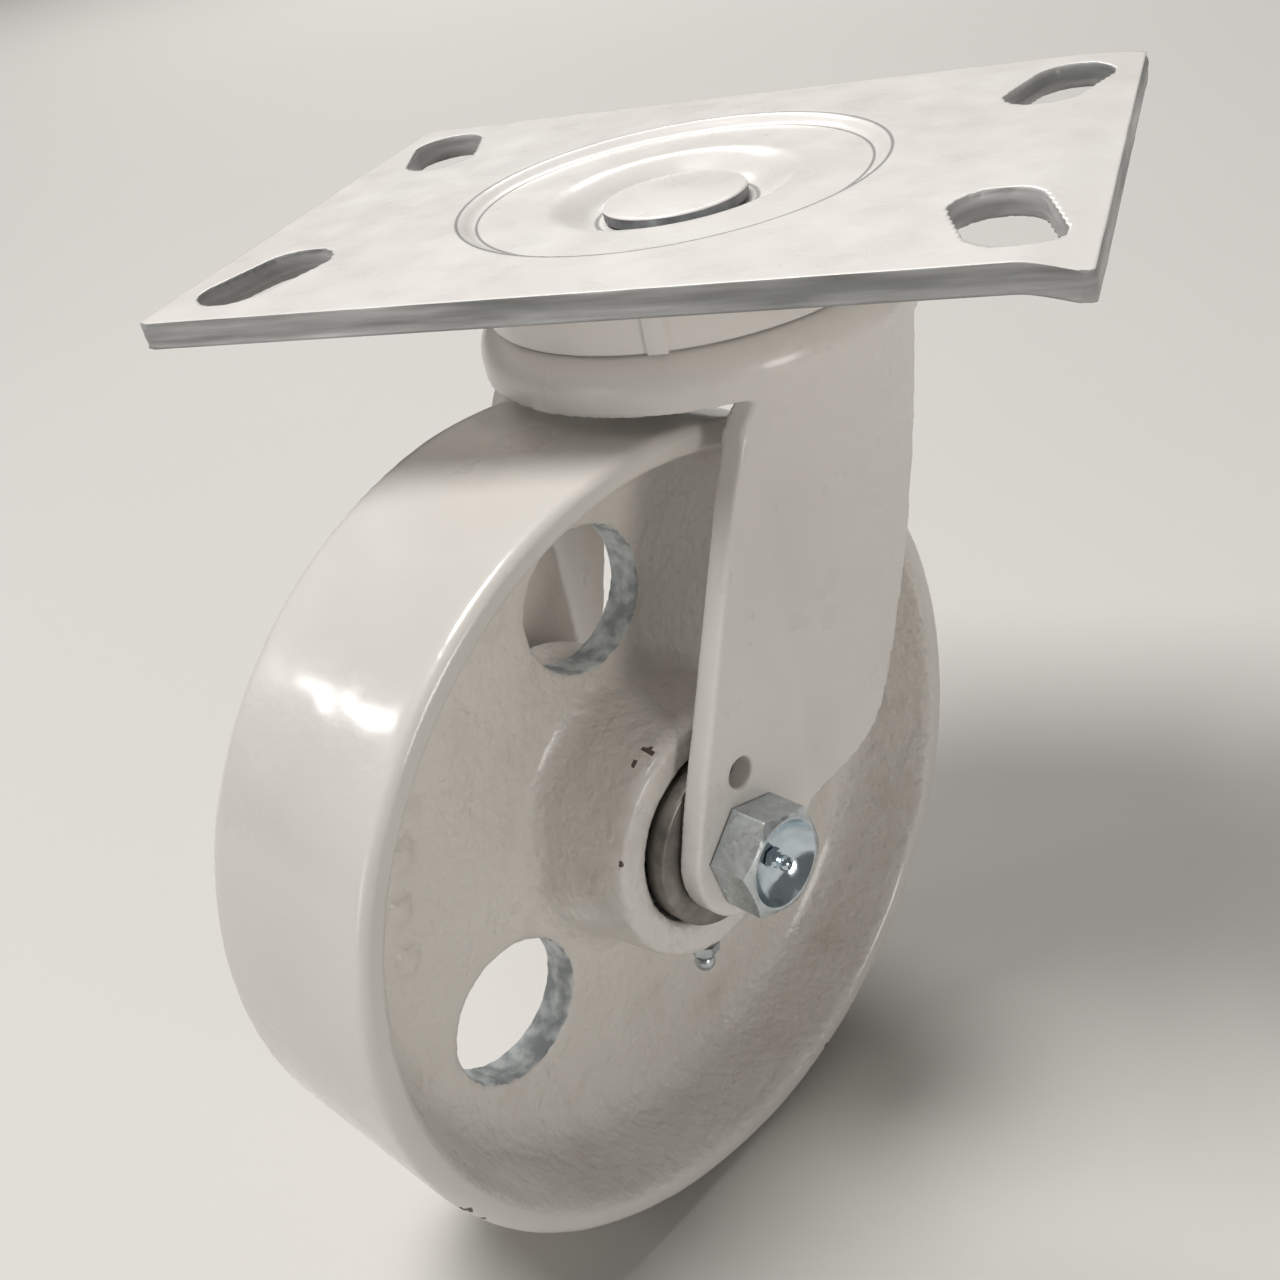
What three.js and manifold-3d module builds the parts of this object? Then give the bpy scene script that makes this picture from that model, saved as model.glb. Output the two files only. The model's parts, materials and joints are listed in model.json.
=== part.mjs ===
// Swivel gate wheel: a slotted top plate, a drawn steel fork that swivels under it on two rings
// of balls, and a cast-iron wheel on rollers around a greased axle bolt.
//
// Millimetres, +Z up. The origin is the middle of the plate's top face, on the swivel axis, and
// +X runs along the plate's long side. The fork is modelled in a frame of its own, turned about
// Z: there +X is forward, the wheel trails towards -X and its axle lies along Y.

import * as THREE from 'three';
import { mergeVertices } from 'three/addons/utils/BufferGeometryUtils.js';
import Module from 'manifold-3d';

const wasm = await Module();
wasm.setup();

// ---- Driving dimensions -------------------------------------------------------------------

// GAP is the clearance kept between pieces that touch. CHAMFER is the broken edge of turned and
// cast corners. REACH is longer than anything that a hole is cut through. SIDES is how many flat
// sides stand in for a circle on large, medium and small pieces.
const GAP = 0.3;
const CHAMFER = 0.8;
const REACH = 60;
const SIDES = { large: 60, medium: 36, small: 20 };
const FORK_ANGLE = THREE.MathUtils.degToRad(65.5);

const PLATE = { length: 158.75, width: 114.3, thickness: 4.8, cornerRadius: 2.5 };
const SLOT = { inner: [62.7, 31.0], outer: [66.7, 42.9], width: 14.3 };
const PRESSING = { outer: 39.9, wall: 3, depth: 1.6 };
const DISH = { outer: 24, inner: 15, depth: 5.8 };
const UNDERSIDE_INSET = 3.8;

const KINGPIN = { headRadius: 13.5, headTop: -3.0, shankRadius: 7.9, end: -37.4 };
const DUST_RING = { outer: 38.2, inner: 36.8, bottom: -18.6 };
const SEAM = { width: 3.6, proud: 0.8, turn: 10 };
const UPPER_BALLS = { count: 16, radius: 5.4, pitch: 30.4 };
const LOWER_BALLS = { count: 14, radius: 2.4, pitch: 14.6 };
const LOWER_CUP = { outer: 19.6, lip: 1.6, top: -25.2, floor: -28.8, bottom: -30.8 };
const KINGPIN_NUT = { flats: 23.8, height: 5.6 };

const CROWN = { radius: 41.2, top: -18.4, thickness: 4.8, shoulder: 7, rim: -28.6, bore: 10.5 };
const LEG = { outerFace: 32.6, thickness: 4.8, endRadius: 13, flare: 9, flareTop: -28, flareEnd: -44 };
const LEG_SHEET = { back: -60, front: 20, top: -20, bottom: -124 };
const LEG_HOLE = { radius: 2.9, rise: 15, forward: 2 };

const AXLE = { trail: 44.45, drop: 107.95, radius: 6.35, headHeight: 8.4, nutHeight: 10.8, thread: 2.4 };
const AXLE_HEX = { flats: 18, turn: 42 };
const HEAD_CUP = { radius: 8, floor: 5, depth: 3.4 };
const BUSH = { outer: 9.5, inner: 6.7 };

const WHEEL = { radius: 76.2, halfWidth: 22.2, rim: 5.6, edge: 2.4, web: 8.2, webOuter: 60, cove: 8 };
const HUB = { halfLength: 24.6, faceRadius: 23.8, rootRadius: 26, bore: 17.2, fillet: 5 };
const HOLES = { count: 3, radius: 13.5, pitch: 44.6, first: 91 };
const ROLLERS = { count: 9, radius: 3.4, halfLength: 20.6 };
const CAGE = { outer: 14.4, inner: 12.4, halfLength: 22.6, window: 7.6 };
const HUB_NIPPLE = { offset: -20.6, turn: -13, scale: 1.4 };
const HUB_WASHER = { outer: 16.6, inner: 9.9, thickness: 4.2 };

// ---- Materials ----------------------------------------------------------------------------

const enamel = new THREE.MeshStandardMaterial({ color: 0xd9d5cf, roughness: 0.35, metalness: 0.1 });
const castEnamel = new THREE.MeshStandardMaterial({ color: 0xcfcac2, roughness: 0.45, metalness: 0.1 });
const zinc = new THREE.MeshStandardMaterial({ color: 0xb9c4c8, roughness: 0.25, metalness: 0.95 });
const steel = new THREE.MeshStandardMaterial({ color: 0x8d8f90, roughness: 0.3, metalness: 1 });
const darkSteel = new THREE.MeshStandardMaterial({ color: 0x6f6c66, roughness: 0.5, metalness: 0.8 });

// ---- Solids -------------------------------------------------------------------------------

function solid(geometry) {
  const bare = geometry.index ? geometry.toNonIndexed() : geometry.clone();
  bare.deleteAttribute('normal');
  bare.deleteAttribute('uv');
  const merged = mergeVertices(bare, 1e-4);
  const vertProperties = new Float32Array(merged.attributes.position.array);
  const triVerts = new Uint32Array(merged.index.array);
  return new wasm.Manifold(new wasm.Mesh({ numProp: 3, vertProperties, triVerts }));
}

function geometryOf(manifold) {
  const mesh = manifold.getMesh();
  const geometry = new THREE.BufferGeometry();
  geometry.setAttribute('position', new THREE.BufferAttribute(new Float32Array(mesh.vertProperties), 3));
  geometry.setIndex(new THREE.BufferAttribute(new Uint32Array(mesh.triVerts), 1));
  const flat = geometry.toNonIndexed();
  flat.computeVertexNormals();
  return flat;
}

function named(name, geometry, material) {
  const mesh = new THREE.Mesh(geometry, material);
  mesh.name = name;
  return mesh;
}

const point = (x, y) => new THREE.Vector2(x, y);

function arc(x, y, radius, from, to, steps) {
  const points = [];
  for (let i = 0; i <= steps; i++) {
    const angle = THREE.MathUtils.degToRad(from + ((to - from) * i) / steps);
    points.push(point(x + radius * Math.cos(angle), y + radius * Math.sin(angle)));
  }
  return points;
}

// A solid of revolution about Y. The outline runs anticlockwise in the (radius, height) plane.
function turnedY(outline, segments) {
  const first = outline[0];
  const closed = first.x === 0 ? outline : [...outline, first.clone()];
  return new THREE.LatheGeometry(closed, segments);
}

function turnedZ(outline, segments) {
  return turnedY(outline, segments).rotateX(Math.PI / 2);
}

// A bar of constant section along Y, from y0 to y1, with its outline drawn in X and Z.
function barAlongY(outline, y0, y1) {
  const options = { depth: y1 - y0, bevelEnabled: false, curveSegments: 8 };
  const geometry = new THREE.ExtrudeGeometry(outline, options);
  return geometry.rotateX(Math.PI / 2).translate(0, y1, 0);
}

function boxSolid(x0, x1, y0, y1, z0, z1) {
  const box = new THREE.BoxGeometry(x1 - x0, y1 - y0, z1 - z0);
  return solid(box.translate((x0 + x1) / 2, (y0 + y1) / 2, (z0 + z1) / 2));
}

function cylinderAlongY(radius, y0, y1, sides) {
  return new THREE.CylinderGeometry(radius, radius, y1 - y0, sides).translate(0, (y0 + y1) / 2, 0);
}

// ---- Top plate ----------------------------------------------------------------------------

function plateOutline() {
  const x = PLATE.length / 2 - PLATE.cornerRadius;
  const y = PLATE.width / 2 - PLATE.cornerRadius;
  const shape = new THREE.Shape();
  shape.absarc(x, y, PLATE.cornerRadius, 0, Math.PI / 2);
  shape.absarc(-x, y, PLATE.cornerRadius, Math.PI / 2, Math.PI);
  shape.absarc(-x, -y, PLATE.cornerRadius, Math.PI, 1.5 * Math.PI);
  shape.absarc(x, -y, PLATE.cornerRadius, 1.5 * Math.PI, 2 * Math.PI);
  return shape;
}

function slotSolid(signX, signY) {
  const dx = SLOT.outer[0] - SLOT.inner[0];
  const dy = SLOT.outer[1] - SLOT.inner[1];
  const travel = Math.hypot(dx, dy);
  const shape = new THREE.Shape();
  shape.absarc(travel / 2, 0, SLOT.width / 2, -Math.PI / 2, Math.PI / 2);
  shape.absarc(-travel / 2, 0, SLOT.width / 2, Math.PI / 2, 1.5 * Math.PI);
  const options = { depth: 4 * PLATE.thickness, bevelEnabled: false, curveSegments: 6 };
  const slot = new THREE.ExtrudeGeometry(shape, options);
  slot.rotateZ(Math.atan2(signY * dy, signX * dx));
  const middleX = (signX * (SLOT.inner[0] + SLOT.outer[0])) / 2;
  const middleY = (signY * (SLOT.inner[1] + SLOT.outer[1])) / 2;
  return solid(slot.translate(middleX, middleY, -2 * PLATE.thickness));
}

// The pressed middle of the plate: a round step down, then a shallow cone to the kingpin's seat.
// The underside's step is drawn in by as much as the sheet is drawn down.
function pressingProfile(offset, inset) {
  const outer = PRESSING.outer - inset;
  return [
    point(outer, offset),
    point(outer - PRESSING.wall, offset - PRESSING.depth),
    point(DISH.outer, offset - PRESSING.depth - GAP),
    point(DISH.inner, offset - DISH.depth),
  ];
}

function topPlate() {
  const options = { depth: PLATE.thickness, bevelEnabled: false, curveSegments: 3 };
  const sheet = new THREE.ExtrudeGeometry(plateOutline(), options).translate(0, 0, -PLATE.thickness);
  const hole = KINGPIN.shankRadius + GAP;
  const top = pressingProfile(0, 0);
  const underside = pressingProfile(-PLATE.thickness, UNDERSIDE_INSET).reverse();
  const middle = [
    point(hole, -DISH.depth - PLATE.thickness),
    ...underside,
    point(PRESSING.outer, -PLATE.thickness),
    ...top,
    point(hole, -DISH.depth),
  ];
  let plate = solid(sheet);
  const core = new THREE.CylinderGeometry(PRESSING.outer, PRESSING.outer, 4 * PLATE.thickness, SIDES.large);
  plate = plate.subtract(solid(core.rotateX(Math.PI / 2)));
  plate = plate.add(solid(turnedZ(middle, SIDES.large)));
  for (const signX of [-1, 1]) {
    for (const signY of [-1, 1]) {
      plate = plate.subtract(slotSolid(signX, signY));
    }
  }
  return named('top_plate', geometryOf(plate), enamel);
}

// ---- Kingpin and swivel bearings ----------------------------------------------------------

function kingpin() {
  const seat = -DISH.depth + GAP;
  const outline = [
    point(0, KINGPIN.end),
    point(KINGPIN.shankRadius - CHAMFER, KINGPIN.end),
    point(KINGPIN.shankRadius, KINGPIN.end + CHAMFER),
    point(KINGPIN.shankRadius, seat),
    point(KINGPIN.headRadius, seat),
    point(KINGPIN.headRadius, KINGPIN.headTop - CHAMFER),
    point(KINGPIN.headRadius - CHAMFER, KINGPIN.headTop),
    point(0, KINGPIN.headTop),
  ];
  return named('kingpin', geometryOf(solid(turnedZ(outline, SIDES.medium))), enamel);
}

function dustRing() {
  const top = -PLATE.thickness - GAP;
  const outline = [
    point(DUST_RING.inner, DUST_RING.bottom),
    point(DUST_RING.outer, DUST_RING.bottom),
    point(DUST_RING.outer, top),
    point(DUST_RING.inner, top),
  ];
  const half = SEAM.width / 2;
  const front = -DUST_RING.outer - SEAM.proud;
  const strap = boxSolid(-half, half, front, -DUST_RING.inner - 0.5, DUST_RING.bottom, top);
  const ring = solid(turnedZ(outline, SIDES.large)).add(strap.rotate([0, 0, SEAM.turn]));
  return named('dust_ring', geometryOf(ring), enamel);
}

function balls(prefix, ring, height) {
  const group = new THREE.Group();
  for (let i = 0; i < ring.count; i++) {
    const angle = (2 * Math.PI * i) / ring.count;
    const ball = named(`${prefix}_${i + 1}`, new THREE.SphereGeometry(ring.radius, 12, 8), steel);
    ball.position.set(ring.pitch * Math.cos(angle), ring.pitch * Math.sin(angle), height);
    group.add(ball);
  }
  return group;
}

function lowerCup() {
  const hole = KINGPIN.shankRadius + GAP;
  const outline = [
    point(hole, LOWER_CUP.bottom),
    point(LOWER_CUP.outer - 1.5, LOWER_CUP.bottom),
    point(LOWER_CUP.outer, LOWER_CUP.bottom + 1.5),
    point(LOWER_CUP.outer, LOWER_CUP.top),
    point(LOWER_CUP.outer - LOWER_CUP.lip, LOWER_CUP.top),
    point(LOWER_CUP.outer - LOWER_CUP.lip, LOWER_CUP.floor),
    point(hole, LOWER_CUP.floor),
  ];
  return named('lower_race_cup', geometryOf(solid(turnedZ(outline, SIDES.medium))), steel);
}

function kingpinNut() {
  const radius = KINGPIN_NUT.flats / Math.sqrt(3);
  const top = LOWER_CUP.bottom - GAP;
  const hex = new THREE.CylinderGeometry(radius, radius, KINGPIN_NUT.height, 6).rotateX(Math.PI / 2);
  hex.translate(0, 0, top - KINGPIN_NUT.height / 2);
  const hole = KINGPIN.shankRadius + GAP;
  const bore = new THREE.CylinderGeometry(hole, hole, REACH, SIDES.medium);
  const nut = solid(hex).subtract(solid(bore.rotateX(Math.PI / 2).translate(0, 0, top)));
  return named('kingpin_nut', geometryOf(nut), zinc);
}

// ---- Fork ---------------------------------------------------------------------------------

function crownSolid() {
  const { radius, top, thickness, shoulder, rim, bore } = CROWN;
  const inner = radius - thickness;
  const outline = [
    point(bore, top - thickness),
    ...arc(radius - shoulder, top - shoulder, shoulder - thickness, 90, 0, 2),
    point(inner, rim),
    point(radius, rim),
    ...arc(radius - shoulder, top - shoulder, shoulder, 0, 90, 4),
    point(bore, top),
  ];
  return solid(turnedZ(outline, SIDES.large));
}

// How far out the leg's outer face lies: on the crown's round wall, or further down on a flat
// lobe around the axle where that is outside the round wall.
function legFace(x, z) {
  const round = Math.sqrt(Math.max(CROWN.radius ** 2 - x ** 2, 0));
  const flare = THREE.MathUtils.smoothstep(-z, -LEG.flareTop, -LEG.flareEnd);
  const lobe = THREE.MathUtils.lerp(LEG.outerFace - LEG.flare, LEG.outerFace, flare);
  return Math.max(round, lobe);
}

// The leg's edge: down the trailing side, round the axle, and up the leading side.
function legOutline() {
  const top = CROWN.top - CROWN.shoulder;
  const degrees = THREE.MathUtils.degToRad;
  const shape = new THREE.Shape();
  shape.moveTo(18, top);
  shape.lineTo(-22, top);
  shape.quadraticCurveTo(-27, -36, -31.7, -44.3);
  shape.lineTo(-47.7, -81.9);
  shape.quadraticCurveTo(-53, -93, -56.2, -102.5);
  shape.absarc(-AXLE.trail, -AXLE.drop, LEG.endRadius, degrees(155), degrees(308));
  shape.lineTo(-17.5, -103.4);
  shape.quadraticCurveTo(-13, -100, -10.2, -94.5);
  shape.lineTo(16.7, -27.5);
  return shape;
}

function legBlank() {
  const [width, height] = [LEG_SHEET.front - LEG_SHEET.back, LEG_SHEET.top - LEG_SHEET.bottom];
  const sheet = new THREE.BoxGeometry(width, 1, height, 12, 1, 10);
  sheet.translate(LEG_SHEET.front - width / 2, 0, LEG_SHEET.top - height / 2);
  const position = sheet.attributes.position;
  for (let i = 0; i < position.count; i++) {
    const outer = legFace(position.getX(i), position.getZ(i));
    const face = position.getY(i) > 0 ? outer : outer - LEG.thickness;
    position.setY(i, face);
  }
  return solid(sheet);
}

function fork() {
  const far = legBlank().intersect(solid(barAlongY(legOutline(), 15, CROWN.radius + 1)));
  const axle = cylinderAlongY(AXLE.radius + GAP, -REACH, REACH, SIDES.medium);
  axle.translate(-AXLE.trail, 0, -AXLE.drop);
  const small = cylinderAlongY(LEG_HOLE.radius, -REACH, REACH, SIDES.small);
  small.translate(-AXLE.trail + LEG_HOLE.forward, 0, -AXLE.drop + LEG_HOLE.rise);
  let body = crownSolid().add(far).add(far.mirror([0, 1, 0]));
  body = body.subtract(solid(axle)).subtract(solid(small));
  return named('fork', geometryOf(body), enamel);
}

// ---- Axle ---------------------------------------------------------------------------------

function axleHex(y0, y1) {
  const radius = AXLE_HEX.flats / Math.sqrt(3);
  return cylinderAlongY(radius, y0, y1, 6).rotateY(THREE.MathUtils.degToRad(AXLE_HEX.turn));
}

// The head is on the near side, -Y, with a dished face and a grease nipple in the middle.
function headFace() {
  return -(LEG.outerFace + GAP + AXLE.headHeight);
}

function axleBolt() {
  const end = LEG.outerFace + GAP + AXLE.nutHeight + AXLE.thread;
  const head = solid(axleHex(headFace(), headFace() + AXLE.headHeight));
  const shank = solid(cylinderAlongY(AXLE.radius, headFace() + AXLE.headHeight - 1, end, SIDES.medium));
  const cup = new THREE.CylinderGeometry(HEAD_CUP.floor, HEAD_CUP.radius, HEAD_CUP.depth, SIDES.medium);
  cup.translate(0, headFace() + HEAD_CUP.depth / 2 - 0.01, 0);
  return named('axle_bolt', geometryOf(head.add(shank).subtract(solid(cup))), zinc);
}

function axleNut() {
  const face = LEG.outerFace + GAP;
  const hex = solid(axleHex(face, face + AXLE.nutHeight));
  const end = face + 2 * AXLE.nutHeight;
  const bore = solid(cylinderAlongY(AXLE.radius + GAP, face - 1, end, SIDES.medium));
  return named('axle_nut', geometryOf(hex.subtract(bore)), zinc);
}

// A nipple standing along +Y: hexagon flange, neck and ball tip, as one turned outline.
function greaseNipple(name, scale) {
  const outline = [
    point(0, 0),
    point(2.1, 0),
    point(2.1, 1.2),
    point(1.3, 1.6),
    point(1.3, 2.2),
    point(1.7, 2.8),
    point(0.9, 3.8),
    point(0, 3.8),
  ];
  return named(name, turnedY(outline, SIDES.small).scale(scale, scale, scale), zinc);
}

function tubeOutline(inner, outer, half) {
  return [point(inner, -half), point(outer, -half), point(outer, half), point(inner, half)];
}

function axleBush() {
  const half = LEG.outerFace - LEG.thickness - GAP;
  return named('axle_bush', turnedY(tubeOutline(BUSH.inner, BUSH.outer, half), SIDES.medium), steel);
}

function hubWasher(name, side) {
  const outer = LEG.outerFace - LEG.thickness - GAP;
  const inner = outer - HUB_WASHER.thickness;
  const outline = [
    point(HUB_WASHER.inner, inner),
    point(HUB_WASHER.outer, inner),
    point(HUB_WASHER.outer, outer - CHAMFER),
    point(HUB_WASHER.outer - CHAMFER, outer),
    point(HUB_WASHER.inner, outer),
  ];
  const washer = named(name, turnedY(outline, SIDES.medium), darkSteel);
  washer.rotation.z = side > 0 ? 0 : Math.PI;
  return washer;
}

// ---- Wheel --------------------------------------------------------------------------------

// Half of the casting's section, from the bore at the hub face out to the middle of the tread.
function wheelHalfSection() {
  const web = WHEEL.web / 2;
  const innerRim = WHEEL.radius - WHEEL.rim;
  return [
    point(HUB.bore, -HUB.halfLength),
    point(HUB.faceRadius - CHAMFER, -HUB.halfLength),
    point(HUB.faceRadius, -HUB.halfLength + CHAMFER),
    point(HUB.rootRadius, -web - HUB.fillet),
    ...arc(HUB.rootRadius + HUB.fillet, -web - HUB.fillet, HUB.fillet, 150, 90, 2),
    ...arc(WHEEL.webOuter, -web - WHEEL.cove, WHEEL.cove, 90, 15, 3),
    point(innerRim, -WHEEL.halfWidth + CHAMFER),
    point(innerRim + CHAMFER, -WHEEL.halfWidth),
    ...arc(WHEEL.radius - WHEEL.edge, -WHEEL.halfWidth + WHEEL.edge, WHEEL.edge, -90, 0, 2),
  ];
}

function wheelCasting() {
  const half = wheelHalfSection();
  const mirrored = half.map((p) => point(p.x, -p.y)).reverse();
  let wheel = solid(turnedY([...half, ...mirrored], SIDES.large));
  for (let i = 0; i < HOLES.count; i++) {
    const angle = THREE.MathUtils.degToRad(HOLES.first + (360 * i) / HOLES.count);
    const hole = cylinderAlongY(HOLES.radius, -WHEEL.web, WHEEL.web, SIDES.medium);
    hole.translate(HOLES.pitch * Math.cos(angle), 0, HOLES.pitch * Math.sin(angle));
    wheel = wheel.subtract(solid(hole));
  }
  return named('wheel_casting', geometryOf(wheel), castEnamel);
}

function bearingPitch() {
  return (HUB.bore + BUSH.outer) / 2;
}

function rollers() {
  const group = new THREE.Group();
  for (let i = 0; i < ROLLERS.count; i++) {
    const angle = (2 * Math.PI * i) / ROLLERS.count;
    const half = ROLLERS.halfLength;
    const geometry = cylinderAlongY(ROLLERS.radius, -half, half, SIDES.small);
    const roller = named(`roller_${i + 1}`, geometry, steel);
    roller.position.set(bearingPitch() * Math.cos(angle), 0, bearingPitch() * Math.sin(angle));
    group.add(roller);
  }
  return group;
}

function rollerCage() {
  let cage = solid(turnedY(tubeOutline(CAGE.inner, CAGE.outer, CAGE.halfLength), SIDES.medium));
  const long = ROLLERS.halfLength + GAP;
  for (let i = 0; i < ROLLERS.count; i++) {
    const window = new THREE.BoxGeometry(10, 2 * long, CAGE.window).translate(bearingPitch(), 0, 0);
    window.rotateY((-2 * Math.PI * i) / ROLLERS.count);
    cage = cage.subtract(solid(window));
  }
  return named('roller_cage', geometryOf(cage), darkSteel);
}

// Where the hub's outside is at a given distance from the middle of the wheel.
function hubRadiusAt(y) {
  const slope = (HUB.rootRadius - HUB.faceRadius) / (HUB.halfLength - HUB.fillet - WHEEL.web / 2);
  return HUB.faceRadius + slope * (HUB.halfLength - Math.abs(y));
}

function hubGreaseNipple() {
  const group = new THREE.Group();
  const nipple = greaseNipple('hub_grease_fitting', HUB_NIPPLE.scale);
  nipple.rotation.x = -Math.PI / 2;
  nipple.position.set(0, HUB_NIPPLE.offset, -(hubRadiusAt(HUB_NIPPLE.offset) + 2 * GAP));
  group.rotation.y = -THREE.MathUtils.degToRad(HUB_NIPPLE.turn);
  return group.add(nipple);
}

// ---- Assembly -----------------------------------------------------------------------------

function axleGroup() {
  const group = new THREE.Group();
  group.position.set(-AXLE.trail, 0, -AXLE.drop);
  const nipple = greaseNipple('axle_grease_fitting', 1);
  nipple.rotation.x = Math.PI;
  nipple.position.y = headFace() + HEAD_CUP.depth - GAP;
  group.add(axleBolt(), axleNut(), nipple, axleBush());
  group.add(hubWasher('hub_washer_near', -1), hubWasher('hub_washer_far', 1));
  group.add(wheelCasting(), hubGreaseNipple(), rollerCage(), rollers());
  return group;
}

const casterWheel = new THREE.Group();
const swivel = new THREE.Group();
swivel.rotation.z = FORK_ANGLE;
swivel.add(fork(), axleGroup());

const plateUnderside = -PRESSING.depth - PLATE.thickness - GAP;
const upperBallHeight = (plateUnderside + CROWN.top) / 2;
const lowerBallHeight = (CROWN.top - CROWN.thickness + LOWER_CUP.floor) / 2;
casterWheel.add(topPlate(), kingpin(), dustRing(), lowerCup(), kingpinNut());
casterWheel.add(balls('upper_ball', UPPER_BALLS, upperBallHeight));
casterWheel.add(balls('lower_ball', LOWER_BALLS, lowerBallHeight));
casterWheel.add(swivel);

export default casterWheel;
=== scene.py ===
import json
import math

import bmesh
import bpy
from mathutils import Matrix, Vector, noise


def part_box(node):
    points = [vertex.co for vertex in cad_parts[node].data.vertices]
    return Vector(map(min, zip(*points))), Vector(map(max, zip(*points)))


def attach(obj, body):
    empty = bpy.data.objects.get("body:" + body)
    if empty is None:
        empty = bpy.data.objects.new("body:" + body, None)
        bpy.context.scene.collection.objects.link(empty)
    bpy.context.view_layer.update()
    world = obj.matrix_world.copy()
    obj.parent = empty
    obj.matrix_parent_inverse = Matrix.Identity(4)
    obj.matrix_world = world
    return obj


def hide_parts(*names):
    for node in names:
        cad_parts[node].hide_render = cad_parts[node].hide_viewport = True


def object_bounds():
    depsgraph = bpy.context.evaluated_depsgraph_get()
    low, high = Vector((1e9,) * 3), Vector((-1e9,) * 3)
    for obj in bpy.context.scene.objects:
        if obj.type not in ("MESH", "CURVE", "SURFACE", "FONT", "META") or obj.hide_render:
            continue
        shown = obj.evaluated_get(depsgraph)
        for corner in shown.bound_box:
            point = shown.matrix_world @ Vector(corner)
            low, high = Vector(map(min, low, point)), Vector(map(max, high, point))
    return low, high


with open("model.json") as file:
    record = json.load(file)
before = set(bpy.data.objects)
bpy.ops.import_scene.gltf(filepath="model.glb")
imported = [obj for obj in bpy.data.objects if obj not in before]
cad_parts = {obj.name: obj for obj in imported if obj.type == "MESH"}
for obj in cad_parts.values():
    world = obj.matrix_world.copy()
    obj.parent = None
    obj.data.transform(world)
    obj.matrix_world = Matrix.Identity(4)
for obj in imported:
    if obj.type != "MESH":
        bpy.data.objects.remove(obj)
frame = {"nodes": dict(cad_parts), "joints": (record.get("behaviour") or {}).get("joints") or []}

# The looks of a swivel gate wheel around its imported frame. Shapes are drawn in millimetres and
# brought to metres as they are made. FORK is the swivelled frame: there +X is forward, the
# wheel trails towards -X, and the axle lies along Y with its bolt head on the -Y side. AXLE is
# the same frame moved to the middle of the axle.

CAD_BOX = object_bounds()
MM = 0.001

# ---- Dimensions, in millimetres -------------------------------------------------------------


def node_box(node):
    """A CAD node's lowest and highest corners in millimetres."""
    low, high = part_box(node)
    return low / MM, high / MM


SPIN = next(joint for joint in frame["joints"] if joint["name"] == "wheel_spin")
AXLE_POINT = Vector(SPIN["pos_m"]) / MM
FORK_TURN = math.atan2(-SPIN["axis"][0], SPIN["axis"][1])
FORK = Matrix.Rotation(FORK_TURN, 4, "Z")
TRAIL = math.hypot(AXLE_POINT.x, AXLE_POINT.y)
DROP = -AXLE_POINT.z
AXLE = FORK @ Matrix.Translation((-TRAIL, 0, -DROP))
HERE = Matrix.Identity(4)

# GAP is the clearance that touching pieces keep. REACH is longer than anything a hole is cut
# through. CLEAR is how far a cutter stands past the surface that it trims.
GAP, REACH, CLEAR = 0.3, 60, 0.1

PLATE_HIGH = node_box("top_plate")[1]
PLATE_THICKNESS = 4.8
PLATE_CORNER = 2.5
SLOT_INNER = (62.7, 31.0)
SLOT_OUTER = (66.7, 42.9)
SLOT_WIDTH = 14.3
STEP_OUTER, STEP_INNER, STEP_DEPTH = 39.9, 36.9, 1.6
DISH_OUTER, DISH_INNER, DISH_DEPTH = 24.0, 15.0, 5.8
UNDERSIDE_INSET = 3.8
DROOP_START, DROOP_BACK, DROOP_FRONT = 68, 0.8, 1.7
PLATE_GRAIN = 0.68

PIN_LOW, PIN_HIGH = node_box("kingpin")
PIN_HEAD, PIN_EDGE = 13.5, 0.5
PIN_SHANK, PIN_POINT = 7.9, 1.0
PIN_NUT_FLATS, PIN_NUT_DROP = 23.8, 1.0

RING_LOW, RING_HIGH = node_box("dust_ring")
RING_OUTER, RING_INNER, RING_EDGE = 38.2, 36.8, 0.4
SEAM_WIDTH, SEAM_PROUD, SEAM_TURN = 3.6, 0.8, 10

CROWN_RADIUS, CROWN_TOP, CROWN_RIM = 41.2, -18.4, -28.6
CROWN_SHOULDER, CROWN_BORE = 7.0, 10.5
SHEET = 4.8
LEG_FACE, LEG_INSIDE = 32.6, 12
LEG_FLARE, FLARE_TOP, FLARE_END, CREASE = 9, 22, 38, 0.5
SHEET_BACK, SHEET_FRONT, SHEET_TOP, SHEET_BOTTOM = -60, 20, -20, -124
LEG_END = 13.0
LEG_HOLE_FORWARD, LEG_HOLE_RISE, LEG_HOLE_RADIUS = 2.0, 15.0, 2.9
FORK_GRAIN = 0.52

WHEEL_RADIUS, WHEEL_HALF = 76.2, 22.2
RIM, RIM_EDGE = 5.6, 2.4
WEB, WEB_OUTER, COVE = 8.2, 60.0, 8.0
HUB_HALF, HUB_FACE, HUB_ROOT, HUB_BORE, HUB_FILLET = 24.6, 23.8, 26.0, 17.2, 5.0
CAST_EDGE = 1.2
HOLE_RADIUS, HOLE_PITCH, HOLE_FIRST, HOLE_COUNT = 13.5, 44.6, 91, 3
PIP_COUNT, PIP_FIRST, PIP_STEP, PIP_PITCH = 3, 156, 10, 56
PIP_TOP, PIP_BASE, PIP_HEIGHT, PIP_SLOPE = 2.0, 2.9, 1.1, 0.8
WHEEL_GRAIN = 0.92
WASHER_INNER, WASHER_OUTER, WASHER_HALF, WASHER_EDGE = 9.9, 16.6, 2.1, 0.5

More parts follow.
